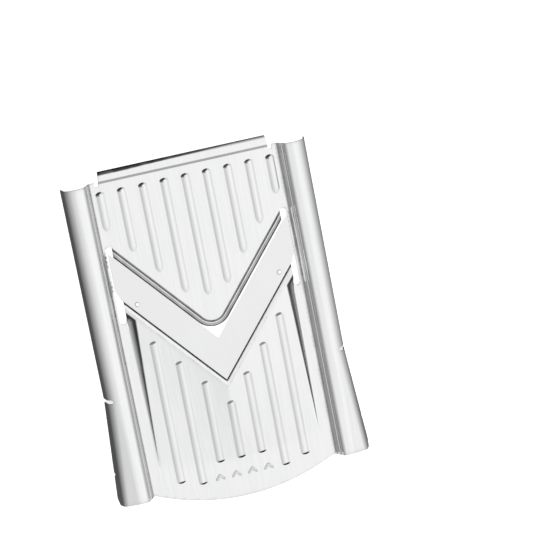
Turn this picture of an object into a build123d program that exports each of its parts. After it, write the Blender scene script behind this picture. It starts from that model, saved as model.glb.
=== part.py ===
"""V-slicer plate of a vegetable dicer: one pressed stainless sheet with a riveted V-blade.

Row frame in millimetres: +X to the right across the plate, +Y along the rails towards the hook lip, +Z up out of
the decks. The origin is under the middle of the plate, on the surface that the rails' skirts stand on.

The pressing is written as five nodes that meet face to face along its bend lines: the run-up deck, the hook lip,
the two side rails and the run-off deck. The V-blade and its two rivets are separate pieces. The plate is its own
mirror image about the YZ plane, so most outlines are drawn for the right side, and an arm means the right arm.
"""

from build123d import *
from math import atan2, cos, hypot, radians, sin, tan
import os

os.makedirs("parts", exist_ok=True)

# ---- driving dimensions: the whole plate --------------------------------------------------------------------------
sheet = 0.8  # thickness of the pressed sheet
deck_top = 2.0  # top of both decks' base level, above the skirts' lower edges
deck_half = 55.2  # half width of the decks, up to the foot of each rail's inner wall
lip_front_y = 106.5
rail_top_y = 100.5
rail_end_y = -94.0
arc_end_y = -106.5  # lowest point of the rounded end
v_half_angle = 40.2  # of the blade and all that is parallel to it, measured from the Y axis
slice_height = 3.8  # top of the blade above the top of the run-up deck

# ribs of both decks: straight, with round ends and sloping sides
rib_pitch = 12.85
rib_width = 5.0
rib_height = 0.8
rib_taper = 35.0

# see-through slots beside the blade's ends, along the foot of the rails' inner walls
slot_inner_x = 51.2
slot_low_y = 13.7
slot_high_y = 61.2

# ---- driving dimensions: run-up deck and hook lip -------------------------------------------------------------------
tongue_bend_apex_y = -3.0  # where the tongue's two bend lines would cross
tongue_radius = 9.9  # of the bend line round the tongue's tip
flange_radius = 1.9  # outer radius of the tongue's turned-down edge
upper_rib_top_y = 94.6
upper_rib_middle_low_y = 20.0  # low end of the middle rib
upper_rib_low_y = 9.0  # low ends of the others lie on a V, which crosses the Y axis here
upper_rib_step = 15.42  # and rises by this for each rib outwards
upper_ribs_each_side = 4

lip_bend_y = 99.0
lip_flat = 0.4  # flat run before the lip steps up
lip_step_run = 0.9
lip_step = 0.7
lip_base_half = 51.5
lip_front_half = 50.7
lip_hem_z = 0.5  # lower edge of the turned-down front
lip_radii = [0.3, 1.2, 1.9]  # two small bends of the step, then the curl
relief_outer_x = 53.6  # a notch beside each end of the lip
relief_y = 98.0

# ---- driving dimensions: side rails ---------------------------------------------------------------------------------
# top line of a rail's section from the deck to the skirt's lower edge, as (x, z), and its corner radii
straight_section = [(deck_half, deck_top), (56.8, deck_top), (60.0, 10.4), (66.0, 11.1), (72.6, 9.6), (74.1, -1.0)]
straight_radii = [1.4, 2.6, 12.0, 6.5]
flared_section = [(deck_half, deck_top), (56.8, deck_top), (60.2, 10.8), (66.0, 11.0), (74.6, 9.0), (78.8, -1.0)]
flared_radii = [1.4, 2.6, 12.0, 6.0]
notch_y = -29.0  # the skirt is straight above this notch, and flares out below it
notch_width = 2.4
notch_inner_x = 69.5  # the notch runs from here out through the rail's shoulder and skirt
notch_length = 8.0  # of its cut, which ends clear of the skirt
small_notch_y = -75.0
small_notch_radius = 1.1
skirt_inside_x = 71.4  # a cut made outwards from here goes through the skirt alone
skirt_corner_run = 4.0  # cut corner at the skirt's lower end
skirt_corner_rise = 2.2

# ---- driving dimensions: blade and rivets ----------------------------------------------------------------------------
blade_inner_apex_y = -6.2
blade_outer_apex_y = -32.3
blade_thickness = 1.0
blade_half = 54.5
blade_corner_run = 2.5  # cut corners at the outer ends of the arms
blade_corner_rise = 5.6
grind_width = 2.0  # ground strip under the cutting edges
edge_thickness = 0.15
rivet_x = 43.4
rivet_y = 24.7
rivet_radius = 0.8
rivet_hole_radius = 0.9
rivet_head_radius = 1.5
rivet_head_height = 0.5
rivet_tail_height = 0.5

# ---- driving dimensions: run-off deck ----------------------------------------------------------------------------------
seat_depth = 7.5  # how far the blade's seat reaches under it, across the arm
seat_clearance = 0.3  # between the blade's outer edge and the joggle
joggle_run = 1.2
shoulder_width = 2.6  # level strip beyond the joggle, across the arm
ramp_corner_x = 46.9
wall_foot_x = 50.6  # foot of the ramp's side wall at its upper end
wall_foot_drop = 5.4  # along Y, from the ramp's corner to the foot of its wall
slot_foot_drop = 6.0
fade_x = 49.6  # here the ramp's side walls run out into the base level
fade_y = -77.0
fade_middle_y = -84.0
rib_sink = 0.3  # the ribs on the ramp start this far below its surface
lower_rib_middle_top_y = -45.8
lower_rib_step = 15.4
lower_rib_low_ys = [-82.5, -82.5, -93.5, -89.8]  # from the middle rib outwards
arrow_y = -91.0
arrow_pitch = 10.0
arrow_count = 4
arrow_half = 2.6
arrow_stroke = 1.1
arrow_height = 0.35

# ---- derived ---------------------------------------------------------------------------------------------------------------
v_slope = 1 / tan(radians(v_half_angle))  # rise along Y for each millimetre along X
v_across = sin(radians(v_half_angle))  # distance across an arm for each millimetre along Y
v_along = cos(radians(v_half_angle))
deck_under = deck_top - sheet
ramp_top = deck_top + slice_height
clear_of_all = ramp_top + 2  # depth of a cut that goes through any deck from below


def v_line(apex_y, x):
    """Y of a line parallel to the blade's arm, which crosses the Y axis at apex_y."""
    return apex_y + v_slope * abs(x)


def arm_plane(apex_y, z):
    """Plane across the arm at its apex: local X runs square to the arm towards the rounded end, local Y up."""
    return Plane(origin=(0, apex_y, z), x_dir=(v_along, -v_across, 0), z_dir=(-v_across, -v_along, 0))


def underside_end(point, unit):
    """Point of the sheet's underside that is square to one end of its top line."""
    return (point[0] + sheet * unit[1], point[1] - sheet * unit[0])


def folded_sheet(plane, top_points, top_radii):
    """Sketch of the folded sheet's section. Its top line runs left to right with rounded corners."""
    steps = [(b[0] - a[0], b[1] - a[1]) for a, b in zip(top_points, top_points[1:])]
    units = [(dx / hypot(dx, dy), dy / hypot(dx, dy)) for dx, dy in steps]
    under_points = [underside_end(top_points[0], units[0])]
    under_radii = []
    for point, before, after, radius in zip(top_points[1:], units, units[1:], top_radii):
        shift = sheet / (1 + before[0] * after[0] + before[1] * after[1])
        under_points.append((point[0] + shift * (before[1] + after[1]), point[1] - shift * (before[0] + after[0])))
        turns_up = before[0] * after[1] > before[1] * after[0]
        under_radii.append(radius + sheet if turns_up else radius - sheet)
    under_points.append(underside_end(top_points[-1], units[-1]))
    with BuildSketch(plane) as section:
        with BuildLine():
            FilletPolyline(*top_points, radius=top_radii)
            FilletPolyline(*under_points, radius=under_radii)
            Line(top_points[0], under_points[0])
            Line(top_points[-1], under_points[-1])
        make_face()
    return section.sketch


def rib_outlines(spans, z):
    """Sketch of ribs seen from above, at height z, each given as (x, lower end y, upper end y)."""
    with BuildSketch(Plane.XY.offset(z)) as outlines:
        for x, low_y, high_y in spans:
            with Locations((x, (low_y + high_y) / 2)):
                SlotOverall(high_y - low_y, rib_width, rotation=90)
    return outlines.sketch


def slot_outlines():
    """Sketch of both see-through slots."""
    width = deck_half - slot_inner_x
    middle_y = (slot_low_y + slot_high_y) / 2
    with BuildSketch() as outlines:
        with Locations((slot_inner_x + width / 2, middle_y), (-slot_inner_x - width / 2, middle_y)):
            SlotOverall(slot_high_y - slot_low_y, width, rotation=90)
    return outlines.sketch


def rivet_holes():
    """Sketch of the holes for both rivets."""
    with BuildSketch() as holes:
        with Locations((rivet_x, rivet_y), (-rivet_x, rivet_y)):
            Circle(rivet_hole_radius)
    return holes.sketch


# ---- run-up deck: flat and ribbed, with a rounded tongue whose edge turns down ---------------------------------------------
tongue_side = tongue_radius / tan(radians(v_half_angle))  # along the arm, from the crossing to the round tip
tongue_tangent = (tongue_side * v_across, tongue_bend_apex_y + tongue_side * v_along)
tongue_tip_y = tongue_bend_apex_y + tongue_radius * (1 / v_across - 1)
tongue_start = (deck_half, v_line(tongue_bend_apex_y, deck_half))

upper_ribs = [(0, upper_rib_middle_low_y, upper_rib_top_y)]
for i in range(1, upper_ribs_each_side + 1):
    for side in (-1, 1):
        upper_ribs.append((side * i * rib_pitch, upper_rib_low_y + upper_rib_step * i, upper_rib_top_y))

with BuildPart() as run_up_deck:
    with BuildSketch(Plane.XY.offset(deck_under)):
        with BuildLine():
            Line((0, lip_bend_y), (lip_base_half, lip_bend_y))
            Polyline(
                (lip_base_half, lip_bend_y),
                (lip_base_half, relief_y),
                (relief_outer_x, relief_y),
                (relief_outer_x, rail_top_y),
                (deck_half, rail_top_y),
                tongue_start,
                tongue_tangent,
            )
            mirror(about=Plane.YZ)
            ThreePointArc((-tongue_tangent[0], tongue_tangent[1]), (0, tongue_tip_y), tongue_tangent)
        make_face()
    extrude(amount=sheet)
    with BuildLine(Plane.XY.offset(deck_top)) as tongue_bend:
        Line(tongue_start, tongue_tangent)
        ThreePointArc(tongue_tangent, (0, tongue_tip_y), (-tongue_tangent[0], tongue_tangent[1]))
        Line((-tongue_tangent[0], tongue_tangent[1]), (-tongue_start[0], tongue_start[1]))
    flange_plane = Plane(
        origin=(*tongue_start, deck_top), x_dir=(v_along, -v_across, 0), z_dir=(-v_across, -v_along, 0)
    )
    with BuildSketch(flange_plane):
        with BuildLine():
            inner_radius = flange_radius - sheet
            Line((0, 0), (0, -sheet))
            RadiusArc((0, -sheet), (inner_radius, -flange_radius), inner_radius)
            Line((inner_radius, -flange_radius), (flange_radius, -flange_radius))
            RadiusArc((flange_radius, -flange_radius), (0, 0), -flange_radius)
        make_face()
    sweep(path=tongue_bend.wire())
    extrude(rib_outlines(upper_ribs, deck_top), amount=rib_height, taper=rib_taper)
    extrude(rib_outlines(upper_ribs, deck_under), amount=rib_height, taper=rib_taper, mode=Mode.SUBTRACT)
    extrude(slot_outlines(), amount=clear_of_all, mode=Mode.SUBTRACT)
    split(bisect_by=Plane.YZ.offset(deck_half), keep=Keep.BOTTOM)
    split(bisect_by=Plane.YZ.offset(-deck_half), keep=Keep.TOP)

# ---- hook lip: steps up off the deck, then curls down ------------------------------------------------------------------------
lip_section = [
    (lip_bend_y, deck_top),
    (lip_bend_y + lip_flat, deck_top),
    (lip_bend_y + lip_flat + lip_step_run, deck_top + lip_step),
    (lip_front_y, deck_top + lip_step),
    (lip_front_y, lip_hem_z),
]

with BuildPart() as hook_lip:
    extrude(folded_sheet(Plane.YZ.offset(-lip_base_half), lip_section, lip_radii), amount=2 * lip_base_half)
    with BuildSketch():
        with BuildLine():
            Polyline(
                (0, lip_bend_y),
                (lip_base_half, lip_bend_y),
                (lip_base_half, lip_bend_y + lip_flat),
                (lip_front_half, lip_front_y),
                (0, lip_front_y),
            )
            mirror(about=Plane.YZ)
        make_face()
    extrude(amount=clear_of_all, mode=Mode.INTERSECT)

# ---- side rails: inverted channels, straight above the notch and flared below it ----------------------------------------------
with BuildPart() as right_rail:
    extrude(
        folded_sheet(Plane.XZ.offset(-rail_top_y), straight_section, straight_radii), amount=rail_top_y - notch_y
    )
    loft(
        sections=[
            folded_sheet(Plane.XZ.offset(-notch_y), straight_section, straight_radii),
            folded_sheet(Plane.XZ.offset(-rail_end_y), flared_section, flared_radii),
        ]
    )
    split(bisect_by=Plane.XY, keep=Keep.TOP)
    with BuildSketch(Plane.XY):
        with Locations((notch_inner_x + notch_length / 2, notch_y)):
            SlotOverall(notch_length, notch_width)
    extrude(until=Until.LAST, mode=Mode.SUBTRACT)
    with BuildSketch(Plane.YZ.offset(skirt_inside_x)):
        with Locations((small_notch_y, 0)):
            Circle(small_notch_radius)
        with BuildLine():
            Polyline(
                (rail_end_y, 0),
                (rail_end_y + skirt_corner_run, 0),
                (rail_end_y, skirt_corner_rise),
                close=True,
            )
        make_face()
    extrude(until=Until.LAST, mode=Mode.SUBTRACT)

with BuildPart() as left_rail:
    mirror(right_rail.part, about=Plane.YZ)

# ---- run-off deck: a seat for the blade, a ramp that fades out, base strips and a rounded end ---------------------------------
shoulder_end = seat_clearance + joggle_run + shoulder_width
ramp_head_apex_y = blade_outer_apex_y - shoulder_end / v_across
ramp_head = (0, ramp_head_apex_y, ramp_top)
ramp_corner = (ramp_corner_x, v_line(ramp_head_apex_y, ramp_corner_x), ramp_top)
arm_end = (slot_inner_x, v_line(ramp_head_apex_y, slot_inner_x), ramp_top)
wall_foot = (wall_foot_x, ramp_corner[1] - wall_foot_drop, deck_top)
slot_foot = (slot_inner_x, arm_end[1] - slot_foot_drop, deck_top)
fade_corner = (fade_x, fade_y, deck_top)
fade_middle = (0, fade_middle_y, deck_top)
end_sagitta = rail_end_y - arc_end_y
end_radius = (deck_half**2 + end_sagitta**2) / (2 * end_sagitta)


def sheet_triangle(a, b, c):
    """Solid of a flat three-cornered piece of the sheet, its top through a, b and c."""
    corners = [Vector(*point) for point in (a, b, c)]
    return ConvexPolyhedron(corners + [corner - Vector(0, 0, sheet) for corner in corners], mode=Mode.PRIVATE)


def upright_strip(a, b):
    """Sketch in the vertical plane through a and b, which are level: one sheet thick, its top from a to b."""
    length = hypot(b[0] - a[0], b[1] - a[1])
    along = ((b[0] - a[0]) / length, (b[1] - a[1]) / length, 0)
    with BuildSketch(Plane(origin=a, x_dir=along, z_dir=(along[1], -along[0], 0))) as strip:
        Rectangle(length, sheet, align=(Align.MIN, Align.MAX))
    return strip.sketch


def sloped_rib(x, low_y, high_y, lowered):
    """Solid of one rib on the ramp, lowered by a given distance. A long one runs on over the base level."""
    head_y = v_line(ramp_head_apex_y, x)
    foot_y = fade_middle_y + (fade_y - fade_middle_y) * abs(x) / fade_x
    slope = atan2(slice_height, head_y - foot_y)
    plane = Plane(origin=(x, head_y, ramp_top), x_dir=(1, 0, 0), z_dir=(0, -sin(slope), cos(slope)))
    low_end = (max(low_y, foot_y - rib_width / 2) - head_y) / cos(slope)
    high_end = (high_y - head_y) / cos(slope)
    full_height = rib_sink + rib_height
    with BuildPart() as rib:
        with BuildSketch(plane.offset(-rib_sink - lowered)):
            with Locations((0, (low_end + high_end) / 2)):
                SlotOverall(high_end - low_end, rib_width, rotation=90)
        extrude(amount=full_height, taper=rib_taper * rib_height / full_height)
        if low_y < foot_y - rib_width / 2:
            level_span = (x, low_y, foot_y + rib_width)
            extrude(rib_outlines([level_span], deck_top - lowered), amount=rib_height, taper=rib_taper)
    return rib.part


lower_ribs = []
for i, rib_low_y in enumerate(lower_rib_low_ys):
    for side in (-1, 1) if i else (1,):
        lower_ribs.append((side * i * rib_pitch, rib_low_y, lower_rib_middle_top_y + lower_rib_step * i))

with BuildPart() as run_off_half:
    # seat, joggle and shoulder: one folded section along the arm
    with BuildSketch(arm_plane(blade_outer_apex_y, ramp_top)):
        with BuildLine():
            Polyline(
                (-seat_depth, -blade_thickness),
                (seat_clearance, -blade_thickness),
                (seat_clearance + joggle_run, 0),
                (shoulder_end, 0),
                (shoulder_end, -sheet),
                (seat_clearance + joggle_run, -sheet),
                (seat_clearance, -blade_thickness - sheet),
                (-seat_depth, -blade_thickness - sheet),
                close=True,
            )
        make_face()
    extrude(amount=2 * deck_half, both=True)
    split(bisect_by=Plane.YZ, keep=Keep.TOP)
    split(bisect_by=Plane.YZ.offset(slot_inner_x), keep=Keep.BOTTOM)
    # ramp: falls from the shoulder to the base level
    loft(sections=[upright_strip(ramp_head, ramp_corner), upright_strip(fade_middle, fade_corner)], ruled=True)
    # side wall, and the short wall that turns the corner at the slot
    add(sheet_triangle(ramp_corner, wall_foot, fade_corner))
    add(sheet_triangle(arm_end, ramp_corner, slot_foot))
    add(sheet_triangle(ramp_corner, wall_foot, slot_foot))
    # base strip and rounded end
    with BuildSketch(Plane.XY.offset(deck_under)):
        with BuildLine():
            Polyline(
                (0, arc_end_y),
                fade_middle[:2],
                fade_corner[:2],
                wall_foot[:2],
                slot_foot[:2],
                (deck_half, slot_foot[1]),
                (deck_half, rail_end_y),
            )
            RadiusArc((deck_half, rail_end_y), (0, arc_end_y), end_radius)
        make_face()
    extrude(amount=sheet)

with BuildSketch() as arrowhead:
    with BuildLine():
        Polyline(
            (-arrow_half, -arrow_half / 2),
            (0, arrow_half / 2),
            (arrow_half, -arrow_half / 2),
            (arrow_half, -arrow_half / 2 - arrow_stroke),
            (0, arrow_half / 2 - arrow_stroke),
            (-arrow_half, -arrow_half / 2 - arrow_stroke),
            close=True,
        )
    make_face()

with BuildPart() as run_off_deck:
    add(run_off_half.part)
    mirror(run_off_half.part, about=Plane.YZ)
    for rib_span in lower_ribs:
        add(sloped_rib(*rib_span, 0))
    for rib_span in lower_ribs:
        add(sloped_rib(*rib_span, sheet), mode=Mode.SUBTRACT)
    extrude(slot_outlines(), amount=clear_of_all, mode=Mode.SUBTRACT)
    extrude(rivet_holes(), amount=clear_of_all, mode=Mode.SUBTRACT)
    # small arrowheads that show which way the plate is pushed
    with BuildSketch(Plane((0, arrow_y, deck_top))):
        with GridLocations(arrow_pitch, 0, arrow_count, 1):
            add(arrowhead.sketch)
    extrude(amount=arrow_height)

# ---- V-blade: two ground arms that meet in a point ------------------------------------------------------------------------------
blade_width = (blade_inner_apex_y - blade_outer_apex_y) * v_across
corner_x = blade_half - blade_corner_run
corner_y = v_line(blade_outer_apex_y, corner_x)
below_corner_y = corner_y - blade_corner_rise

with BuildPart() as v_blade:
    with BuildSketch(arm_plane(blade_inner_apex_y, ramp_top)):
        with BuildLine():
            Polyline(
                (0, 0),
                (blade_width, 0),
                (blade_width, -blade_thickness),
                (grind_width, -blade_thickness),
                (0, -edge_thickness),
                close=True,
            )
        make_face()
    extrude(amount=2 * deck_half, both=True)
    split(bisect_by=Plane.YZ, keep=Keep.TOP)
    split(bisect_by=Plane.YZ.offset(blade_half), keep=Keep.BOTTOM)
    with BuildSketch():
        with BuildLine():
            Polyline(
                (corner_x, below_corner_y),
                (corner_x, corner_y),
                (blade_half, corner_y + blade_corner_rise),
                (blade_half, below_corner_y),
                close=True,
            )
        make_face()
    extrude(amount=clear_of_all, mode=Mode.SUBTRACT)
    mirror(about=Plane.YZ)
    extrude(rivet_holes(), amount=clear_of_all, mode=Mode.SUBTRACT)

# ---- rivets: a low domed head on the blade, a flat tail under its seat ------------------------------------------------------------
seat_under = ramp_top - blade_thickness - sheet
dome_radius = (rivet_head_radius**2 + rivet_head_height**2) / (2 * rivet_head_height)

with BuildPart() as right_blade_rivet:
    with BuildSketch(Plane.XZ.offset(-rivet_y)):
        with BuildLine():
            Polyline(
                (rivet_x + rivet_head_radius, ramp_top),
                (rivet_x + rivet_radius, ramp_top),
                (rivet_x + rivet_radius, seat_under),
                (rivet_x + rivet_head_radius, seat_under),
                (rivet_x + rivet_head_radius, seat_under - rivet_tail_height),
                (rivet_x, seat_under - rivet_tail_height),
                (rivet_x, ramp_top + rivet_head_height),
            )
            RadiusArc(
                (rivet_x, ramp_top + rivet_head_height), (rivet_x + rivet_head_radius, ramp_top), dome_radius
            )
        make_face()
    revolve(axis=Axis((rivet_x, rivet_y, 0), (0, 0, 1)))

with BuildPart() as left_blade_rivet:
    mirror(right_blade_rivet.part, about=Plane.YZ)

# ---- write one file for each piece --------------------------------------------------------------------------------------------------
pieces = {
    "run_up_deck": run_up_deck,
    "hook_lip": hook_lip,
    "left_rail": left_rail,
    "right_rail": right_rail,
    "run_off_deck": run_off_deck,
    "v_blade": v_blade,
    "left_blade_rivet": left_blade_rivet,
    "right_blade_rivet": right_blade_rivet,
}
for name, piece in pieces.items():
    piece.part.label = name
    export_step(piece.part, f"parts/{name}.step")
    print(name, "valid" if piece.part.is_valid else "NOT VALID", f"{piece.part.volume:.0f} mm3")
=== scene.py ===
"""Looks of the V-slicer plate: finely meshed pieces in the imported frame's place, brushed steel, studio and camera.

Shapes are worked out in millimetres in the frame's axes, and written to the meshes in metres.
"""
from math import atan2, cos, hypot, pi, radians, sin, tan

import bmesh
import bpy
import numpy as np
from mathutils import Matrix, Vector
from mathutils.geometry import delaunay_2d_cdt


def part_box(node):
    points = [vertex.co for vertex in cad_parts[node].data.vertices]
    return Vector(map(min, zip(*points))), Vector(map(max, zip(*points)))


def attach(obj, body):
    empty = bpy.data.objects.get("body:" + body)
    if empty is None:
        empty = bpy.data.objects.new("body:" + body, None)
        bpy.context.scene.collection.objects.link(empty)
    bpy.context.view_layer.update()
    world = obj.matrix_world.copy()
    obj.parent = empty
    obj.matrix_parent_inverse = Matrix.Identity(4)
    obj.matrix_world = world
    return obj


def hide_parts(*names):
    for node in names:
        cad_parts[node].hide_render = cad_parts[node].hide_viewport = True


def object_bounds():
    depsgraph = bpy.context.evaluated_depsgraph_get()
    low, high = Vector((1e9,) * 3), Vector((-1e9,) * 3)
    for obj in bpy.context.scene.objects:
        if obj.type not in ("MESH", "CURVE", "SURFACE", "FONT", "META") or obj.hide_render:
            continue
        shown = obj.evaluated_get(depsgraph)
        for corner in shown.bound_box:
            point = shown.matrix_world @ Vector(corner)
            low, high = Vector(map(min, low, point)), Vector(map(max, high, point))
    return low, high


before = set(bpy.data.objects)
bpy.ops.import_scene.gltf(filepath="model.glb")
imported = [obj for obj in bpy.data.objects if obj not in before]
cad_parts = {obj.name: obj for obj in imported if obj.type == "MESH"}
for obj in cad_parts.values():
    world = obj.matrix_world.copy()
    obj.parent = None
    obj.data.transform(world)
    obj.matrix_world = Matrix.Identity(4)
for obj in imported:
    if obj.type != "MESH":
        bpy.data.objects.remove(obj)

MM = 0.001
cad_box = [list(corner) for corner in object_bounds()]


def box_mm(node):
    """Lowest and highest corner of a node, in millimetres."""
    low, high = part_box(node)
    return np.array(low) / MM, np.array(high) / MM


_, deck_high = box_mm("run_up_deck")
lip_low, lip_high = box_mm("hook_lip")
rail_low, rail_high = box_mm("right_rail")
run_off_low, _ = box_mm("run_off_deck")
blade_low, blade_high = box_mm("v_blade")
rivet_low, rivet_high = box_mm("right_blade_rivet")

# ---- dimensions ---------------------------------------------------------------------------------------------
sheet = 0.8
deck_top = 2.0
deck_half = deck_high[0]
lip_front_y = lip_high[1]
rail_top_y = rail_high[1]
rail_end_y = rail_low[1]
arc_end_y = run_off_low[1]
ramp_top = blade_high[2]
edge_softening = 0.12  # radius of the sheet's cut edges

v_half_angle = radians(40.2)
v_slope = 1 / tan(v_half_angle)
v_across = sin(v_half_angle)

rib_pitch = 12.85
rib_half = 2.5
rib_height = 0.6
rib_softness = 0.0775  # of its edge, in height
rib_blend = 0.006  # about its square
rib_reach_end = 1.4  # where its soft edge ends, in half widths
rib_rings = [0.0, 0.5, 0.9, 1.3, 1.6, 1.9, 2.15, 2.35, 2.5, 2.65, 2.85, 3.2]

slot_inner_x = 51.2
slot_low_y = 13.7
slot_high_y = 61.2
slot_radius = (deck_half - slot_inner_x) / 2
slot_middle_x = slot_inner_x + slot_radius

tongue_bend_apex_y = -2.2
tongue_radius = 9.4
tongue_section = [(-2.2, 2.0), (-1.4, 2.0), (0.1, 1.3), (2.75, 1.5), (2.75, 0.1)]  # across its edge
tongue_section_radii = [1.6, 0.3, 1.0]
upper_rib_top_y = 94.6
upper_rib_middle_low_y = 20.0
upper_rib_low_y = 9.0
upper_rib_step = 15.42

lip_bend_y = 99.0
lip_step_y = 101.0  # the lip's step ends here
lip_top = 2.7
lip_radii = [0.5, 0.9, 1.8]
lip_base_half = 51.5
lip_front_half = 50.7
relief_outer_x = 53.6
relief_y = 98.0

# a rail's top line from the deck to the skirt's lower edge, as (x, z): inner wall with a small ledge, crown, skirt
rail_foot = [(deck_half, deck_top), (56.8, deck_top)]
straight_section = rail_foot + [(58.3, 6.4), (59.1, 6.7), (60.0, 10.4), (66.0, 11.1), (72.6, 9.6), (73.958, 0.0)]
straight_radii = [1.3, 0.9, 0.4, 2.6, 12.0, 6.5]
flared_section = rail_foot + [(58.4, 6.6), (59.2, 6.9), (60.2, 10.8), (66.0, 11.0), (75.4, 9.0), (78.38, 0.0)]
flared_radii = [1.3, 0.9, 0.4, 2.6, 12.0, 4.4]
notch_y = -29.0
notch_half = 1.2
notch_inner_x = 69.5
small_notch_y = -75.0
small_notch_radius = 1.1
skirt_corner_run = 4.0
skirt_corner_rise = 2.2

blade_inner_apex_y = -6.2
blade_outer_apex_y = blade_low[1]
blade_thickness = 1.0
blade_half = blade_high[0]
blade_corner_run = 2.5
blade_corner_rise = 5.6
grind_width = 2.0
edge_thickness = 0.15

seat_depth = 7.5
seat_clearance = 0.3
joggle_run = 0.6
shoulder_end = 4.1  # where the ramp starts, measured across the arm from the blade
shoulder_crown = 0.2
ramp_corner_x = 46.0  # here the ramp starts to roll over into its side wall
wall_foot_x = 50.6
wall_foot_drop = 5.4
slot_foot_drop = 6.0
fade_x = 49.6
fade_y = -77.0
fade_middle_y = -84.0
wall_roll = 1.6  # how late the side wall steepens
lower_rib_middle_top_y = -45.8
lower_rib_step = 15.4
lower_rib_low_ys = [-82.5, -82.5, -93.5, -89.8]
arrow_y = -91.0
arrow_pitch = 10.0
arrow_half = 2.6
arrow_height = 0.4

# painted shade: dark reflections painted into the sheet's colour, from 0 to 1
tongue_edge_painted_shade = [(-2.0, 0), (-0.9, 0.5), (-0.3, 0.9), (-0.1, 0.2), (0.2, 0.1)]  # by distance beyond its bend line
tongue_edge_painted_shade += [(0.5, 0.85), (1.2, 0.6), (1.7, 0.55), (2.2, 0.9), (2.6, 1)]
side_wall_painted_shade = [(0, 0), (0.08, 1), (0.35, 0.95), (0.7, 0.4), (1, 0)]  # by the share of the way down the wall
side_wall_shade_keeps = [(fade_y, 0.3), (fade_y + 12, 0.9), (fade_y + 30, 1)]  # by Y
lip_painted_shade_width = [(-52, 2.5), (-20, 1.8), (25, 1.0), (52, 0.7)]  # by X
lip_painted_shade_share = [(-52, 1), (0, 0.9), (25, 0.6), (52, 0.15)]  # by X


def v_line(apex_y, x):
    """Y of a line parallel to the blade's arm, which crosses the Y axis at apex_y."""
    return apex_y + v_slope * abs(x)


def through(value, stops):
    """The value read off a line through the given (from, to) stops."""
    return np.interp(value, *zip(*stops))


def ease(t):
    """0 below t = 0, 1 above t = 1, and a smooth step between."""
    t = np.clip(t, 0.0, 1.0)
    return t * t * (3 - 2 * t)


# ---- flat regions filled with triangles ---------------------------------------------------------------------
def split_line(points, step):
    """The open line with points added so that none are further apart than the step."""
    result = [tuple(points[0])]
    for a, b in zip(points, points[1:]):
        count = max(1, int(np.ceil(hypot(b[0] - a[0], b[1] - a[1]) / step)))
        for k in range(1, count + 1):
            result.append((a[0] + (b[0] - a[0]) * k / count, a[1] + (b[1] - a[1]) * k / count))
    return result


def arc(centre, radius, start, end, count):
    """Points of an arc between two angles in degrees."""
    angles = np.radians(np.linspace(start, end, count))
    return [(centre[0] + radius * cos(a), centre[1] + radius * sin(a)) for a in angles]


def distance_to_line(points, line):
    """Distance of every point from an open line."""
    best = np.full(len(points), 1e9)
    for a, b in zip(line, line[1:]):
        a = np.array(a)
        along = np.array(b) - a
        t = np.clip((points - a) @ along / max(along @ along, 1e-12), 0, 1)
        best = np.minimum(best, np.hypot(*(points - a - t[:, None] * along).T))
    return best


def inside(points, loop):
    """Which points lie inside a closed loop."""
    result = np.zeros(len(points), bool)
    x, y = points.T
    for (ax, ay), (bx, by) in zip(loop, loop[1:] + loop[:1]):
        crosses = (ay > y) != (by > y)
        with np.errstate(divide="ignore", invalid="ignore"):
            result ^= crosses & (x < (bx - ax) * (y - ay) / (by - ay) + ax)
    return result


def filled(loop, inner, clearance=0.3):
    """Triangles of the region inside a loop, whose points come first and in order."""
    inner = np.array(inner)
    keep = inside(inner, loop) & (distance_to_line(inner, loop + loop[:1]) > clearance)
    inner = inner[keep]
    _, first = np.unique(np.round(inner / 0.04), axis=0, return_index=True)
    inner = inner[np.sort(first)]
    verts = [Vector(p) for p in loop] + [Vector(p) for p in inner]
    edges = [(i, (i + 1) % len(loop)) for i in range(len(loop))]
    _, _, faces, origins, _, _ = delaunay_2d_cdt(verts, edges, [], 1, 1e-5, True)
    number = [group[0] for group in origins]
    flat = np.array(verts)
    triangles = np.array([[number[i] for i in face] for face in faces])
    return flat, triangles[inside(flat[triangles].mean(axis=1), loop)].tolist()


class Rib:
    """Straight rib along Y. Its ends are round, and steeper than its sides where their steepness is over 1."""

    def __init__(self, x, low_y, high_y, low_steepness, high_steepness):
        self.x = x
        self.low = low_y + rib_half / low_steepness
        self.high = high_y - rib_half / high_steepness
        self.low_steepness = low_steepness
        self.high_steepness = high_steepness

    def reach(self, points):
        """Distance from the rib's middle line, in which its edge is everywhere at the rib's half width."""
        beyond = np.maximum(points[:, 1] - self.high, 0) * self.high_steepness
        before = np.maximum(self.low - points[:, 1], 0) * self.low_steepness
        return np.hypot(points[:, 0] - self.x, beyond + before)

    def rings(self):
        """Rings of points which follow its sides and its ends."""
        result = []
        for radius in rib_rings:
            for y in np.linspace(self.low, self.high, max(2, int((self.high - self.low) / 1.2)) + 1):
                result += [(self.x - radius, y), (self.x + radius, y)]
            for a in np.linspace(0, pi, 3 + 2 * int(radius * 5))[1:-1]:
                result.append((self.x + radius * cos(a), self.high + radius * sin(a) / self.high_steepness))
                result.append((self.x + radius * cos(a), self.low - radius * sin(a) / self.low_steepness))
        return result


def rib_rise(points, ribs):
    """Height of the ribs above the sheet. It runs out softly round a rib's edge."""
    rise = np.zeros(len(points))
    for rib in ribs:
        reach = np.minimum(rib.reach(points) / rib_half, rib_reach_end)
        dome = rib_height * (1 - reach**2)
        soft_dome = 0.5 * (dome + np.sqrt(dome**2 + rib_blend))
        beyond = np.maximum(reach - 1, 0) / (rib_reach_end - 1)
        rise = np.maximum(rise, soft_dome - 0.5 * rib_softness * beyond)
    return rise


def fill_points(low, high, step, ribs):
    """Points round the ribs, and an even grid between them."""
    grid = np.array([(x, y) for x in np.arange(low[0], high[0], step) for y in np.arange(low[1], high[1], step)])
    result = []
    for rib in ribs:
        result += rib.rings()
        grid = grid[rib.reach(grid) > rib_rings[-1] + 0.4]
    return result + [tuple(point) for point in grid]


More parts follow.
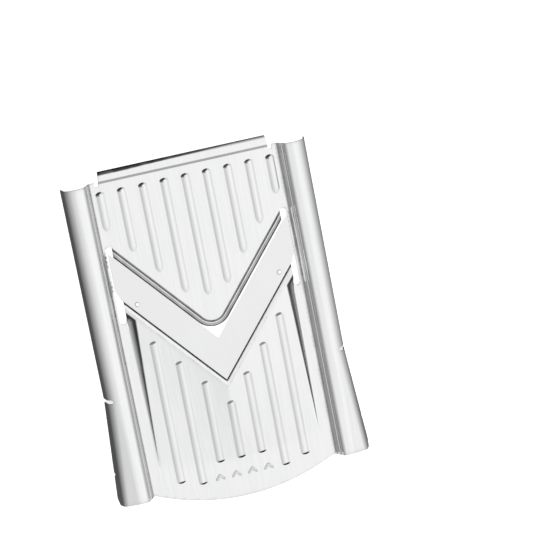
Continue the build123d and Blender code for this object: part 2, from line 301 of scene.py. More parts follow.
def rounded_line(points, radii, arc_steps, run_steps):
    """Points and unit normals of a line with rounded corners, which runs left to right with its top on the left."""
    points = [np.array(p, float) for p in points]
    result, normals = [], []
    start = points[0]
    for k in range(1, len(points)):
        unit_in = (points[k] - points[k - 1]) / np.linalg.norm(points[k] - points[k - 1])
        normal_in = np.array([-unit_in[1], unit_in[0]])
        if k < len(points) - 1:
            unit_out = (points[k + 1] - points[k]) / np.linalg.norm(points[k + 1] - points[k])
            turn = atan2(unit_in[0] * unit_out[1] - unit_in[1] * unit_out[0], unit_in @ unit_out)
            radius = radii[k - 1]
            end = points[k] - unit_in * radius * tan(abs(turn) / 2)
        else:
            end = points[k]
        for t in np.linspace(0, 1, run_steps[k - 1] + 1)[:-1]:
            result.append(start + (end - start) * t)
            normals.append(normal_in)
        if k == len(points) - 1:
            result.append(end)
            normals.append(normal_in)
            break
        side = 1 if turn > 0 else -1
        centre = end + side * radius * normal_in
        for t in np.linspace(0, 1, arc_steps[k - 1] + 1)[:-1]:
            a = turn * t
            spun_x = normal_in[0] * cos(a) - normal_in[1] * sin(a)
            spun_y = normal_in[0] * sin(a) + normal_in[1] * cos(a)
            spun = np.array([spun_x, spun_y])
            result.append(centre - side * radius * spun)
            normals.append(spun)
        start = centre - side * radius * np.array([-unit_out[1], unit_out[0]])
    return np.array(result), np.array(normals)


# ---- pieces of sheet ----------------------------------------------------------------------------------------
def finish_piece(name, bm, sharp=38):
    """Object of a mesh in millimetres, with smooth faces and sharp cut edges, kept inside the CAD's box."""
    for vert in bm.verts:
        vert.co = np.clip(np.array(vert.co) * MM, cad_box[0], cad_box[1])
    mesh = bpy.data.meshes.new(name)
    bmesh.ops.recalc_face_normals(bm, faces=bm.faces)
    bm.to_mesh(mesh)
    bm.free()
    mesh.shade_smooth()
    mesh.set_sharp_from_angle(angle=radians(sharp))
    piece = bpy.data.objects.new(name, mesh)
    bpy.context.scene.collection.objects.link(piece)
    return piece


def sheet_piece(name, top, under, faces, is_seam):
    """Piece with the given top and underside. Its cut edges are softened, except where is_seam(point) holds."""
    bm = bmesh.new()
    upper = [bm.verts.new(p) for p in top]
    lower = [bm.verts.new(p) for p in under]
    for face in faces:
        bm.faces.new([upper[i] for i in face])
        bm.faces.new([lower[i] for i in reversed(face)])
    twin = dict(zip(upper, lower))
    soft = []
    for edge in [e for e in bm.edges if len(e.link_faces) == 1 and e.verts[0] in twin]:
        a, b = edge.verts
        rim = bm.faces.new([a, b, twin[b], twin[a]])
        if not (is_seam(a.co) and is_seam(b.co)):
            soft.append(edge)
            soft += [e for e in rim.edges if twin[a] in e.verts and twin[b] in e.verts]
    used = {v for f in bm.faces for v in f.verts}
    bmesh.ops.delete(bm, geom=[v for v in bm.verts if v not in used], context="VERTS")
    bmesh.ops.recalc_face_normals(bm, faces=bm.faces)
    bmesh.ops.bevel(
        bm, geom=soft, offset=edge_softening, segments=2, profile=0.5, affect="EDGES", clamp_overlap=True
    )
    return finish_piece(name, bm)


def mirrored_loop(half):
    """Closed loop from its right half, which runs from the top of the Y axis to its bottom, clockwise."""
    left = [(-x, y) for x, y in reversed(half) if x > 1e-6]
    return half + left


# run-up deck: the region inside the tongue's bend line, then rows round the turned-down edge
tongue_centre_y = tongue_bend_apex_y + tongue_radius / v_across


def tongue_row(reach, z):
    """Right half of the line at a distance outside the tongue's bend line, from the slot to the tip."""
    start = (slot_inner_x, v_line(tongue_bend_apex_y - reach / v_across, slot_inner_x))
    turn = arc((0, tongue_centre_y), tongue_radius + reach, -np.degrees(v_half_angle), -90, 15)
    run_x, run_y = turn[0][0] - start[0], turn[0][1] - start[1]
    straight = [(start[0] + run_x * t, start[1] + run_y * t) for t in np.linspace(0, 1, 46)]
    return [(x, y, z) for x, y in straight + turn[1:]]


upper_ribs = [Rib(0, upper_rib_middle_low_y, upper_rib_top_y, 0.55, 1.7)]
for i in range(1, 5):
    for side in (-1, 1):
        low_y = upper_rib_low_y + upper_rib_step * i
        upper_ribs.append(Rib(side * i * rib_pitch, low_y, upper_rib_top_y, 0.55, 1.7))

tongue_line, tongue_normals = rounded_line(tongue_section, tongue_section_radii, [6, 4, 10], [2, 3, 2, 1])
bend = [(x, y) for x, y, _ in tongue_row(tongue_line[0][0], tongue_line[0][1])]
slot_high_centre = (slot_middle_x, slot_high_y - slot_radius)
deck_side = split_line(
    [(0, lip_bend_y), (lip_base_half, lip_bend_y), (lip_base_half, relief_y), (relief_outer_x, relief_y)]
    + [(relief_outer_x, rail_top_y), (deck_half, rail_top_y), (deck_half, slot_high_centre[1])],
    1.5,
)
deck_loop_half = deck_side[:-1] + arc(slot_high_centre, slot_radius, 0, 120, 9) + bend
deck_loop = mirrored_loop(deck_loop_half)
deck_fill = fill_points((-deck_half, -5), (deck_half, rail_top_y), 2.0, upper_ribs)
flat, faces = filled(deck_loop, deck_fill)
top = np.column_stack([flat, deck_top + rib_rise(flat, upper_ribs)])
under = top - np.array([0, 0, sheet])

first_bend = len(deck_loop_half) - len(bend)
row_before = list(range(first_bend, first_bend + 2 * len(bend) - 1))
for (reach, z), (across, upward) in zip(tongue_line[1:], tongue_normals[1:]):
    half = tongue_row(reach, z)
    inner_half = tongue_row(reach - sheet * across, z - sheet * upward)
    row = half + [(-x, y, z) for x, y, z in reversed(half[:-1])]
    inner_row = inner_half + [(-x, y, z) for x, y, z in reversed(inner_half[:-1])]
    row_now = list(range(len(top), len(top) + len(row)))
    top = np.vstack([top, row])
    under = np.vstack([under, inner_row])
    for k in range(len(row) - 1):
        faces.append([row_before[k], row_before[k + 1], row_now[k + 1], row_now[k]])
    row_before = row_now


def deck_seam(point):
    at_lip = abs(point.y - lip_bend_y) < 0.01 and abs(point.x) < lip_base_half + 0.01
    return abs(abs(point.x) - deck_half) < 0.01 or at_lip


run_up = sheet_piece("run_up_deck_sheet", top, under, faces, deck_seam)

# hook lip
lip_section = [(lip_bend_y, deck_top), (lip_bend_y + 0.3, deck_top), (lip_step_y, lip_top)]
lip_section += [(lip_front_y, lip_top), (lip_front_y, lip_low[2])]
lip_line, lip_normals = rounded_line(lip_section, lip_radii, [4, 6, 12], [2, 2, 6, 1])
columns = 72
top, under, faces = [], [], []
for (y, z), (ny, nz) in zip(lip_line, lip_normals):
    taper = max(0.0, y - lip_bend_y - 0.4) / (lip_front_y - lip_bend_y - 0.4)
    half = lip_base_half + (lip_front_half - lip_base_half) * taper
    for x in np.linspace(-half, half, columns + 1):
        top.append((x, y, z))
        under.append((x, y - sheet * ny, z - sheet * nz))
for r in range(len(lip_line) - 1):
    for c in range(columns):
        a = r * (columns + 1) + c
        faces.append([a, a + 1, a + columns + 2, a + columns + 1])
lip = sheet_piece("hook_lip_sheet", top, under, faces, lambda p: abs(p.y - lip_bend_y) < 0.01)

# side rails: the skirt's outline is drawn on the unrolled sheet, then folded
rail_arcs = [6, 4, 4, 8, 8, 18]
rail_runs = [2, 3, 2, 3, 3, 4, 6]
straight_line, straight_normals = rounded_line(straight_section, straight_radii, rail_arcs, rail_runs)
flared_line, flared_normals = rounded_line(flared_section, flared_radii, rail_arcs, rail_runs)
reach_along = np.concatenate([[0], np.cumsum(np.hypot(*np.diff(straight_line, axis=0).T))])
fold_end = reach_along[-1]
skirt_unit = (straight_line[-1] - straight_line[-2]) / np.linalg.norm(straight_line[-1] - straight_line[-2])


def skirt_reach(z):
    """Distance along the section to a height on the skirt."""
    return fold_end - z / abs(skirt_unit[1])


def reach_at(x):
    """Distance along the section to a point on the rail's outer shoulder."""
    return float(np.interp(x, straight_line[:, 0], reach_along))


notch_bend_x = notch_inner_x + notch_half
notch_side = [s for s in reach_along if reach_at(notch_bend_x) + 0.2 < s < fold_end - 0.2]
rail_loop = split_line([(0, rail_end_y), (0, rail_top_y)], 3.0)[:-1]
rail_loop += [(s, rail_top_y) for s in reach_along[:-1]]
rail_loop += split_line([(fold_end, rail_top_y), (fold_end, notch_y + notch_half)], 3.0)
rail_loop += [(s, notch_y + notch_half) for s in notch_side[::-1]]
rail_loop += [(reach_at(x), y) for x, y in arc((notch_bend_x, notch_y), notch_half, 90, 270, 13)]
rail_loop += [(s, notch_y - notch_half) for s in notch_side]
rail_loop += split_line([(fold_end, notch_y - notch_half), (fold_end, small_notch_y + small_notch_radius)], 3.0)
rail_loop += [(skirt_reach(z), y) for y, z in arc((small_notch_y, 0), small_notch_radius, 0, 180, 9)[1:]]
skirt_end = (fold_end, rail_end_y + skirt_corner_run)
rail_loop += split_line([(fold_end, small_notch_y - small_notch_radius), skirt_end], 3.0)[1:]
rail_loop += [(skirt_reach(skirt_corner_rise), rail_end_y)]
rail_loop += [(s, rail_end_y) for s in reach_along[::-1] if 0.01 < s < skirt_reach(skirt_corner_rise) - 0.3]
notch_rows = notch_y + np.array([-2.4, -1.7, -0.6, 0, 0.6, 1.7, 2.4])
rail_rows = np.concatenate([np.arange(rail_end_y, rail_top_y, 2.6), notch_rows])
rail_fill = [(s, y) for s in reach_along for y in rail_rows]
flat, rail_faces = filled(rail_loop, rail_fill)
flare = np.clip((notch_y - flat[:, 1]) / (notch_y - rail_end_y), 0, 1)


def folded(straight_values, flared_values, column):
    a = np.interp(flat[:, 0], reach_along, straight_values[:, column])
    b = np.interp(flat[:, 0], reach_along, flared_values[:, column])
    return a + (b - a) * flare


rail_x, rail_z = folded(straight_line, flared_line, 0), folded(straight_line, flared_line, 1)
normal_x, normal_z = folded(straight_normals, flared_normals, 0), folded(straight_normals, flared_normals, 1)
length = np.hypot(normal_x, normal_z)
rail_top_points = np.column_stack([rail_x, flat[:, 1], rail_z])
rail_under_points = np.column_stack(
    [rail_x - sheet * normal_x / length, flat[:, 1], np.maximum(rail_z - sheet * normal_z / length, 0)]
)
rails = {}
for name, side in (("left_rail", -1), ("right_rail", 1)):
    flip = np.array([side, 1, 1])
    rails[name] = sheet_piece(
        name + "_sheet",
        rail_top_points * flip,
        rail_under_points * flip,
        rail_faces,
        lambda p: abs(abs(p.x) - deck_half) < 0.01,
    )

# ---- run-off deck -------------------------------------------------------------------------------------------
ramp_head_apex_y = blade_outer_apex_y - shoulder_end / v_across
ramp_corner = (ramp_corner_x, v_line(ramp_head_apex_y, ramp_corner_x))
arm_end = (slot_inner_x, v_line(ramp_head_apex_y, slot_inner_x))
wall_foot = (wall_foot_x, ramp_corner[1] - wall_foot_drop)
slot_foot = (slot_inner_x, arm_end[1] - slot_foot_drop)
fade_corner = (fade_x, fade_y)
end_sagitta = rail_end_y - arc_end_y
end_radius = (deck_half**2 + end_sagitta**2) / (2 * end_sagitta)

lower_ribs = []
for i, rib_low_y in enumerate(lower_rib_low_ys):
    for side in (-1, 1) if i else (1,):
        high_y = lower_rib_middle_top_y + lower_rib_step * i
        lower_ribs.append(Rib(side * i * rib_pitch, rib_low_y, high_y, 1.8, 1.4))

arrow_lines = []
for k in range(4):
    middle = (k - 1.5) * arrow_pitch
    foot_y = arrow_y - arrow_half / 2 - 0.55
    tip_y = arrow_y + arrow_half / 2 - 0.55
    reach = arrow_half - 0.3
    arrow_lines.append([(middle - reach, foot_y), (middle, tip_y), (middle + reach, foot_y)])


wall_edge = [fade_corner, ramp_corner, arm_end, (arm_end[0] + 6, arm_end[1] + 6 * v_slope)]
wall_foot_line = [fade_corner, wall_foot, slot_foot, (slot_foot[0] + 6, slot_foot[1] + 3)]


def ramp_height(x, y):
    """Height of the ramp between its side walls. It runs out softly into the base level."""
    head_y = ramp_head_apex_y + v_slope * x
    foot_y = fade_middle_y + (fade_y - fade_middle_y) * np.minimum(x / fade_x, 1)
    rise = (y - foot_y) / (head_y - foot_y)
    softness = 0.05
    rise = 0.5 * (rise + np.sqrt(rise**2 + softness**2)) - 0.5 * softness * np.exp(-np.abs(rise) / softness)
    return deck_top + (ramp_top - deck_top) * np.clip(rise, 0, 1)


def rib_end_painted_shade(points, ribs, toward, low_end):
    """Painted shade at the rounded ends of the ribs, standing in for dark reflections: 0 to 1, on the side that a
    direction gives.
    """
    result = np.zeros(len(points))
    for rib in ribs:
        end_y, steepness = (rib.low, rib.low_steepness) if low_end else (rib.high, rib.high_steepness)
        away = (points - np.array([rib.x, end_y])) * np.array([1, steepness])
        length = np.hypot(away[:, 0], away[:, 1])
        side = away @ np.array(toward) / np.maximum(length, 1e-6)
        band = np.clip(3 - 3 * np.abs(length - 0.7 * rib_half) / (0.5 * rib_half), 0, 1)
        result = np.maximum(result, band * np.clip((side - 0.35) / 0.3, 0, 1))
    return result


def wall_foot_at(y):
    """Where the side wall meets the base level. Above its end at the slot, the wall runs out to the slot."""
    stops = [(fade_y, fade_x), (wall_foot[1], wall_foot_x), (slot_foot[1], slot_inner_x)]
    return through(y, stops + [(slot_foot[1] + 0.01, slot_inner_x + 0.5)])


def side_wall_share(points):
    """How far a point is down the ramp's side wall: 0 off the wall and at its upper edge, 1 at its foot."""
    x, y = np.abs(points[:, 0]), points[:, 1]
    right_side = np.column_stack([x, y])
    from_edge = distance_to_line(right_side, wall_edge)
    from_foot = distance_to_line(right_side, wall_foot_line)
    share = from_edge / np.maximum(from_edge + from_foot, 1e-6)
    edge_x = np.interp(y, [fade_y, ramp_corner[1]], [fade_x, ramp_corner_x])
    foot_x = wall_foot_at(y)
    on_ramp = np.where(y < ramp_corner[1], x <= edge_x, y >= ramp_head_apex_y + v_slope * x)
    return np.where(on_ramp | (x >= foot_x), 0, share)


def run_off_height(points):
    """Height of the run-off deck: base level, ramp with side walls, shoulder, joggle and seat."""
    x, y = np.abs(points[:, 0]), points[:, 1]
    head_y = ramp_head_apex_y + v_slope * x
    share = side_wall_share(points)
    edge_x = np.interp(y, [fade_y, ramp_corner[1]], [fade_x, ramp_corner_x])
    foot_x = wall_foot_at(y)
    on_ramp = np.where(y < ramp_corner[1], x <= edge_x, y >= head_y)
    on_base = ~on_ramp & (x >= foot_x)
    edge_height = np.where(y < ramp_corner[1], ramp_height(edge_x, y), ramp_top)
    wall = deck_top + (edge_height - deck_top) * (1 - share**wall_roll)
    height = np.where(on_ramp, ramp_height(x, y), np.where(on_base, deck_top, wall))
    from_blade = (v_line(blade_outer_apex_y, np.sqrt(x**2 + 0.3)) - y) * v_across
    joggle = blade_thickness * (1 - ease((from_blade - seat_clearance) / joggle_run))
    crown = shoulder_crown * np.sin(pi * np.clip((from_blade - 0.7) / (shoulder_end - 0.3), 0, 1)) ** 2
    height = np.where(on_ramp, height - joggle + crown, height)
    marks = np.full(len(points), 1e9)
    for line in arrow_lines:
        marks = np.minimum(marks, distance_to_line(points, line))
    return height + rib_rise(points, lower_ribs) + arrow_height * (1 - ease((marks - 0.35) / 0.3))


seat_apex_y = blade_outer_apex_y + seat_depth / v_across
slot_low_centre = (slot_middle_x, slot_low_y + slot_radius)
half_turn = np.degrees(atan2(deck_half, end_radius - end_sagitta))
seat_line = split_line([(0, seat_apex_y), (slot_inner_x, v_line(seat_apex_y, slot_inner_x))], 1.5)
fine_from = (slot_inner_x, 27.0)
slot_side = split_line([seat_line[-1], fine_from], 1.5)
slot_side += split_line([fine_from, (slot_inner_x, 15.9)], 0.4)[1:]
rail_side = split_line([(deck_half, slot_low_centre[1]), (deck_half, rail_end_y)], 1.5)
round_end = arc((0, arc_end_y + end_radius), end_radius, half_turn - 90, -90, 60)
run_off_half = (
    seat_line[:-1] + slot_side + arc(slot_low_centre, slot_radius, 180, 360, 15) + rail_side[1:-1] + round_end
)
run_off_loop = mirrored_loop(run_off_half)

fill = fill_points((-deck_half, arc_end_y), (deck_half, 42), 2.0, lower_ribs)
xs = np.arange(-slot_inner_x + 0.45, slot_inner_x - 0.4, 0.75)
for reach in [-0.5, 0.0, 0.3, 0.42, 0.54, 0.66, 0.78, 0.9, 1.1, 1.5, 1.9, 2.4, 2.9, 3.4, 3.9, 4.5, 5.2]:
    fill += [(x, v_line(blade_outer_apex_y - reach / v_across, np.sqrt(x * x + 0.3))) for x in xs]
for t in np.linspace(0, 1, 120):
    edge_point = np.array(fade_corner) + (np.array(ramp_corner) - fade_corner) * t
    foot_point = np.array(fade_corner) + (np.array(wall_foot) - fade_corner) * t
    for share in np.linspace(-0.2, 1.2, 13):
        point = edge_point + (foot_point - edge_point) * share
        fill += [tuple(point), (-point[0], point[1])]
for t in np.linspace(0, 1, 14):
    edge_point = np.array(ramp_corner) + (np.array(arm_end) - ramp_corner) * t
    foot_point = np.array(wall_foot) + (np.array(slot_foot) - wall_foot) * t
    for share in np.linspace(-0.1, 1.1, 13):
        point = edge_point + (foot_point - edge_point) * share
        fill += [tuple(point), (-point[0], point[1])]
for line in arrow_lines:
    middle = line[1]
    for x in np.arange(-3.4, 3.41, 0.27):
        for y in np.arange(-3.2, 1.2, 0.27):
            fill.append((middle[0] + x, middle[1] + y))
flat, faces = filled(run_off_loop, fill)
top = np.column_stack([flat, run_off_height(flat)])
run_off = sheet_piece(
    "run_off_deck_sheet", top, top - np.array([0, 0, sheet]), faces, lambda p: abs(abs(p.x) - deck_half) < 0.01
)


def store_painted_shade(piece, share):
    """Store the painted shade, dark reflections painted into the colour, from a function of the points of its plan.
    """
    places = np.array([vert.co for vert in piece.data.vertices]) / MM
    piece.data.attributes.new("painted_shade_amount", "FLOAT", "POINT").data.foreach_set("value", share(places[:, :2]))


def run_off_painted_shade(points):
    """Painted shade standing in for dark reflections: crevice and faint crease beside the blade, the ramp's side
    walls, and the ribs' ends.
    """
    from_blade = (v_line(blade_outer_apex_y, np.abs(points[:, 0])) - points[:, 1]) * v_across
    # painted shade in the crevice and along the crease beside the blade
    crevice_shade = 1 - np.clip(np.abs(from_blade - 0.4) / 0.55 - 0.3, 0, 1)
    crease_shade = 0.4 * (1 - np.clip(np.abs(from_blade - 2.9) / 0.5, 0, 1))
    wall = through(side_wall_share(points), side_wall_painted_shade) * through(points[:, 1], side_wall_shade_keeps)
    top_end_shade = rib_end_painted_shade(points, lower_ribs, (-0.4, 0.92), False)
    low_end_shade = rib_end_painted_shade(points, lower_ribs, (0.3, -0.95), True)
    joggle = np.maximum(crevice_shade, crease_shade) * (np.abs(points[:, 0]) < slot_inner_x)
    return np.maximum.reduce([wall, joggle, 0.7 * top_end_shade, low_end_shade])


def run_up_painted_shade(points):
    """Painted shade standing in for dark reflections on the tongue edge and at the ribs' top ends."""
    x, y = np.abs(points[:, 0]), points[:, 1]
    beyond_arm = (v_line(tongue_bend_apex_y, x) - y) * v_across
    beyond_tip = np.hypot(x, y - tongue_centre_y) - tongue_radius
    beyond = np.where(x > (tongue_centre_y - y) * v_slope, beyond_arm, beyond_tip)
    dark = through(beyond, tongue_edge_painted_shade)
    dark = np.where((y > slot_high_y) | (x > deck_half - 0.1), 0, dark)
    return np.maximum(dark, rib_end_painted_shade(points, upper_ribs, (-0.7, 0.71), False))


def lip_curl_painted_shade(points):
    """Painted shade standing in for a dark reflection in the lip's curl: darkest at its left end, it thins out and
    fades towards its right end.
    """
    x, y = points[:, 0], points[:, 1]
    within = y - lip_front_y + through(x, lip_painted_shade_width)
    return through(x, lip_painted_shade_share) * np.clip(within / 0.35, 0, 1)


# painted shade on the sheets, standing in for dark reflections
store_painted_shade(lip, lip_curl_painted_shade)
store_painted_shade(run_off, run_off_painted_shade)
store_painted_shade(run_up, run_up_painted_shade)

# ---- V-blade ------------------------------------------------------------------------------------------------
corner_x = blade_half - blade_corner_run
softening = 0.08
bm = bmesh.new()
rings = []
stations = np.concatenate([np.linspace(0, corner_x, 20), np.linspace(corner_x, blade_half, 4)])
stations = sorted(set(np.round(stations, 4)))
for x in [-s for s in stations[:0:-1]] + stations:
    outer_y = v_line(blade_outer_apex_y, x)
    past = max(0.0, abs(x) - corner_x)
    if past > 0:
        outer_y = v_line(blade_outer_apex_y, corner_x) + blade_corner_rise * past / blade_corner_run
    inner_y = v_line(blade_inner_apex_y, x)
    width = (inner_y - outer_y) * v_across
    section = [(0, -edge_thickness), (0, -0.03), (0.05, 0), (0.6, 0), (width * 0.33, 0), (width * 0.66, 0)]
    section += [(width - 0.5, 0), (width - softening, 0), (width - 0.3 * softening, -0.3 * softening)]
    section += [(width, -softening), (width, softening - blade_thickness), (width - softening, -blade_thickness)]
    section += [(grind_width + 0.1, -blade_thickness), (grind_width - 0.1, 0.04 - blade_thickness)]
    rings.append([bm.verts.new((x, inner_y - across / v_across, ramp_top + z)) for across, z in section])
for ring, after in zip(rings, rings[1:]):
    for k in range(len(ring)):
        n = (k + 1) % len(ring)
        bm.faces.new([ring[k], after[k], after[n], ring[n]])
bm.faces.new(rings[0])
bm.faces.new(list(reversed(rings[-1])))
blade = finish_piece("v_blade_ground", bm, 25)

# ---- rivets -------------------------------------------------------------------------------------------------
rivet_middle = (rivet_low + rivet_high) / 2
rivet_radius = (rivet_high[0] - rivet_low[0]) / 2
shank_radius = 0.8
head_height = rivet_high[2] - ramp_top
tail_low = rivet_low[2]
tail_high = ramp_top - blade_thickness - sheet
head = [(rivet_radius * t, head_height * (1 - 0.12 * t**2 - 0.88 * t**8)) for t in np.linspace(0, 1, 17)]
profile = [(r, ramp_top + z) for r, z in head + [(shank_radius, -0.01)]]
profile += [(shank_radius, tail_high), (rivet_radius, tail_high), (rivet_radius, tail_low + 0.12)]
profile += [(rivet_radius - 0.12, tail_low), (0.7, tail_low), (0.55, tail_low + 0.08), (0.0, tail_low + 0.1)]
rivets = {}
for name, side in (("left_blade_rivet", -1), ("right_blade_rivet", 1)):
    bm = bmesh.new()
    turns = 40
    rings = []
    for r, z in profile:
        if r == 0:
            rings.append([bm.verts.new((side * rivet_middle[0], rivet_middle[1], z))])
            continue
        ring = []
        for k in range(turns):
            a = 2 * pi * k / turns
            ring.append(bm.verts.new((side * rivet_middle[0] + r * cos(a), rivet_middle[1] + r * sin(a), z)))
        rings.append(ring)
    for ring, after in zip(rings, rings[1:]):
        for k in range(turns):
            n = (k + 1) % turns
            corners = [ring[k % len(ring)], ring[n % len(ring)], after[n % len(after)], after[k % len(after)]]
            bm.faces.new(list(dict.fromkeys(corners)))
    rivets[name] = finish_piece(name + "_dome", bm, 35)


# ---- materials ----------------------------------------------------------------------------------------------
class Nodes:
    """Short hand for a material's node tree."""

    def __init__(self, name):
        self.material = bpy.data.materials.new(name)
        self.material.use_nodes = True
        self.tree = self.material.node_tree
        self.shader = self.tree.nodes["Principled BSDF"]

    def add(self, kind, links=(), **settings):
        node = self.tree.nodes.new(kind)
        for key, value in settings.items():
            if key.startswith("in_"):
                node.inputs[key[3:].replace("_", " ")].default_value = value
            else:
                setattr(node, key, value)
        for socket, source in links:
            self.tree.links.new(source, node.inputs[socket])
        return node

    def scaled(self, scale):
        place = self.add("ShaderNodeTexCoord")
        mapping = self.add("ShaderNodeMapping", [("Vector", place.outputs["Object"])])
        mapping.inputs["Scale"].default_value = scale
        return mapping.outputs["Vector"]

    def noise(self, scale, detail=2.0, roughness=0.5):
        return self.add(
            "ShaderNodeTexNoise",
            [("Vector", self.scaled(scale))],
            in_Scale=1.0,
            in_Detail=detail,
            in_Roughness=roughness,
        ).outputs["Fac"]

    def spread(self, value, low, high, from_low=0.3, from_high=0.7):
        node = self.add("ShaderNodeMapRange", [("Value", value)])
        for socket, number in (("From Min", from_low), ("From Max", from_high), ("To Min", low), ("To Max", high)):
            node.inputs[socket].default_value = number
        return node.outputs["Result"]

    def sum(self, a, b):
        return self.add("ShaderNodeMath", [(0, a), (1, b)], operation="ADD").outputs[0]

    def tint(self, value, dark, light):
        ramp = self.add("ShaderNodeValToRGB", [("Fac", value)])
        ramp.color_ramp.elements[0].position = 0.3
        ramp.color_ramp.elements[0].color = (*dark, 1)
        ramp.color_ramp.elements[1].position = 0.7
        ramp.color_ramp.elements[1].color = (*light, 1)
        return ramp.outputs["Color"]

    def bump(self, height, distance, strength=1.0, under=None):
        node = self.add("ShaderNodeBump", [("Height", height)], in_Distance=distance, in_Strength=strength)
        if under is not None:
            self.tree.links.new(under, node.inputs["Normal"])
        return node.outputs["Normal"]

    def connect(self, socket, value):
        self.tree.links.new(value, self.shader.inputs[socket])


def pressed_steel(name, with_painted_shade):
    """Bright rolled sheet. Where the mesh's own painted shade value is high, its colour is painted dark in place of
    dark reflections.
    """
    m = Nodes(name)
    m.shader.inputs["Metallic"].default_value = 1.0
    rolling = m.noise((5200, 160, 5200), 3, 0.6)
    wide_rolling = m.noise((900, 30, 900), 2)
    smudge = m.noise((38, 30, 38), 3, 0.6)
    waves = m.noise((26, 20, 26), 1)
    blend = m.sum(m.spread(smudge, 0.0, 0.5), m.spread(wide_rolling, 0.0, 0.5))
    colour = m.tint(blend, (0.585, 0.588, 0.592), (0.61, 0.61, 0.61))
    if with_painted_shade:
        painted_shade_amount = m.add("ShaderNodeAttribute", attribute_name="painted_shade_amount").outputs["Fac"]
        patchy_painted_shade = m.sum(painted_shade_amount, m.spread(m.noise((160, 40, 160), 2), -0.1, 0.1))
        mix = m.add("ShaderNodeMix", data_type="RGBA")
        m.tree.links.new(m.spread(patchy_painted_shade, 0, 1, 0.1, 1), mix.inputs["Factor"])
        m.tree.links.new(colour, mix.inputs["A"])
        # painted shade: the dark colour that stands in for dark reflections
        mix.inputs["B"].default_value = (0.05, 0.05, 0.052, 1)
        colour = mix.outputs["Result"]
    m.connect("Base Color", colour)
    m.connect("Roughness", m.sum(m.spread(smudge, 0.13, 0.2), m.spread(rolling, -0.02, 0.03)))
    normal = m.bump(waves, 0.00005)
    normal = m.bump(rolling, 0.0000005, 1.0, normal)
    m.connect("Normal", normal)
    return m.material


def ground_steel():
    m = Nodes("ground_steel")
    m.shader.inputs["Metallic"].default_value = 1.0
    grain = m.noise((2600, 260, 2600), 3, 0.7)
    smudge = m.noise((45, 35, 45), 3, 0.6)
    blend = m.sum(m.spread(smudge, 0.0, 0.4), m.spread(grain, 0.0, 0.6))
    m.connect("Base Color", m.tint(blend, (0.6, 0.602, 0.605), (0.615, 0.615, 0.615)))
    m.connect("Roughness", m.sum(m.spread(smudge, 0.26, 0.32), m.spread(grain, -0.03, 0.04)))
    m.connect("Normal", m.bump(grain, 0.0000012))
    return m.material


def rivet_steel():
    m = Nodes("rivet_steel")
    m.shader.inputs["Metallic"].default_value = 1.0
    grain = m.noise((1800, 1800, 1800), 3, 0.6)
    smudge = m.noise((500, 500, 500), 2)
    m.connect("Base Color", m.tint(smudge, (0.7, 0.7, 0.7), (0.76, 0.76, 0.76)))
    m.connect("Roughness", m.sum(m.spread(smudge, 0.18, 0.26), m.spread(grain, -0.02, 0.02)))
    m.connect("Normal", m.bump(grain, 0.000004))
    return m.material


# the second pressed steel has painted shade standing in for dark reflections
pressed, painted_shade_sheet = pressed_steel("pressed_steel", False), pressed_steel("steel_with_painted_shade", True)
ground, riveted = ground_steel(), rivet_steel()
for piece, node, finish, slot in (
    (run_up, "run_up_deck", painted_shade_sheet, "pressed_sheet"),
    (lip, "hook_lip", painted_shade_sheet, "pressed_sheet"),
    (rails["left_rail"], "left_rail", pressed, "pressed_sheet"),
    (rails["right_rail"], "right_rail", pressed, "pressed_sheet"),
    (run_off, "run_off_deck", painted_shade_sheet, "pressed_sheet"),
    (blade, "v_blade", ground, "ground_blade"),
    (rivets["left_blade_rivet"], "left_blade_rivet", riveted, "rivet"),
    (rivets["right_blade_rivet"], "right_blade_rivet", riveted, "rivet"),
):
    piece.data.materials.append(finish)
    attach(piece, "root")
    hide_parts(node)

# ---- floor --------------------------------------------------------------------------------------------------
bpy.ops.mesh.primitive_plane_add(size=12, location=(0, 0, cad_box[0][2] - 0.0004))
floor = bpy.context.object
floor.name = "floor"
f = Nodes("floor_white")
f.shader.inputs["Roughness"].default_value = 0.9
f.connect("Base Color", f.tint(f.noise((3, 3, 3), 2), (0.9, 0.9, 0.9), (0.93, 0.93, 0.93)))
f.shader.inputs["Emission Color"].default_value = (1, 1, 1, 1)
f.shader.inputs["Emission Strength"].default_value = 0.7
floor.data.materials.append(f.material)
floor.visible_glossy = False

# a white card under the plate, which only its reflections see
bpy.ops.mesh.primitive_plane_add(size=1, location=(0, 0, cad_box[0][2] - 0.0003))
card = bpy.context.object
card.name = "card"
card.scale = (2 * slot_high_centre[0] * MM, cad_box[1][1] - cad_box[0][1], 1)
c = Nodes("card_white")
c.shader.inputs["Emission Color"].default_value = (1, 1, 1, 1)
c.shader.inputs["Emission Strength"].default_value = 0.7
card.data.materials.append(c.material)
card.visible_camera = False
card.visible_diffuse = False
card.visible_shadow = False

# ---- studio: a wide soft ceiling of light over dark sides ---------------------------------------------------
world = bpy.data.worlds.new("studio")
bpy.context.scene.world = world
world.use_nodes = True
tree = world.node_tree
background = tree.nodes["Background"]
place = tree.nodes.new("ShaderNodeTexCoord")
parts = tree.nodes.new("ShaderNodeSeparateXYZ")
facing = tree.nodes.new("ShaderNodeVectorMath")
facing.operation = "DOT_PRODUCT"
facing.inputs[1].default_value = Vector((0.3, -0.2, 0.93)).normalized()
tree.links.new(place.outputs["Generated"], facing.inputs[0])
tree.links.new(place.outputs["Generated"], parts.inputs[0])


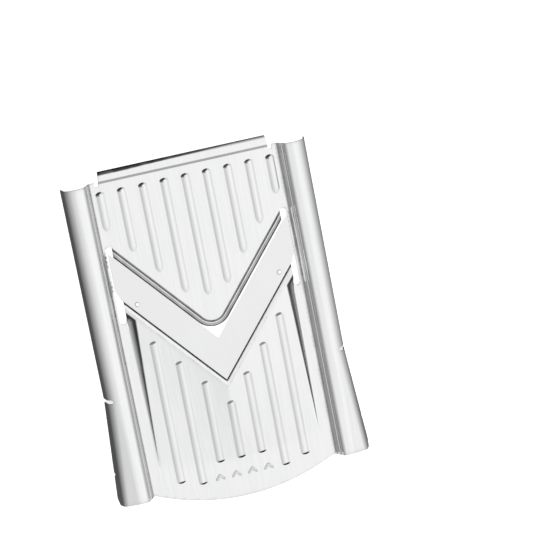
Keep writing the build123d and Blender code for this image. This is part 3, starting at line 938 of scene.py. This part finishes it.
def brightness(value, stops):
    """Grey level of a number between -1 and 1, through the given stops."""
    to_unit = tree.nodes.new("ShaderNodeMapRange")
    to_unit.inputs["From Min"].default_value = -1
    to_unit.inputs["From Max"].default_value = 1
    tree.links.new(value, to_unit.inputs["Value"])
    ramp = tree.nodes.new("ShaderNodeValToRGB")
    tree.links.new(to_unit.outputs["Result"], ramp.inputs["Fac"])
    elements = ramp.color_ramp.elements
    elements[0].position, elements[1].position = 0, 1
    for position, grey in stops[1:-1]:
        elements.new((position + 1) / 2)
    for element, (position, grey) in zip(elements, stops):
        element.position = (position + 1) / 2
        element.color = (grey, grey, grey, 1)
    return ramp.outputs["Color"]


dome_stops = [(-1, 0.05), (-0.7, 0.1), (-0.43, 0.2), (0.06, 0.34), (0.47, 0.5), (0.8, 0.68)]
dome_stops += [(0.93, 0.82), (0.99, 0.93), (1, 0.95)]
dome = brightness(facing.outputs["Value"], dome_stops)
ends = brightness(
    parts.outputs["Y"],
    [(-1, 0.06), (-0.93, 0.12), (-0.85, 0.45), (-0.7, 0.97), (0.1, 1), (0.3, 0.95), (0.55, 0.9), (1, 0.85)],
)
both = tree.nodes.new("ShaderNodeMix")
both.data_type = "RGBA"
both.blend_type = "MULTIPLY"
both.inputs["Factor"].default_value = 1
tree.links.new(dome, both.inputs["A"])
tree.links.new(ends, both.inputs["B"])
tree.links.new(both.outputs["Result"], background.inputs["Color"])
background.inputs["Strength"].default_value = 1.64

# ---- camera -------------------------------------------------------------------------------------------------
aim = Vector((0.040898, 0.022878, 0.003))
azimuth, elevation, roll = radians(211.985), radians(74.702), radians(-223.947)
distance = 1.690
back = Vector((sin(azimuth) * cos(elevation), -cos(azimuth) * cos(elevation), sin(elevation)))
level = Vector((0, 0, 1)).cross(back).normalized()
lift = back.cross(level)
right = level * cos(roll) + lift * sin(roll)
upward = lift * cos(roll) - level * sin(roll)
camera_data = bpy.data.cameras.new("camera")
camera_data.lens = 185.85
camera_data.sensor_width = 36
camera_data.clip_end = 50
camera = bpy.data.objects.new("camera", camera_data)
bpy.context.scene.collection.objects.link(camera)
turned = Matrix((right, upward, back)).transposed().to_4x4()
turned.translation = aim + back * distance
camera.matrix_world = turned
bpy.context.scene.camera = camera

view = bpy.context.scene.view_settings
view.view_transform = "Standard"
view.look = "None"
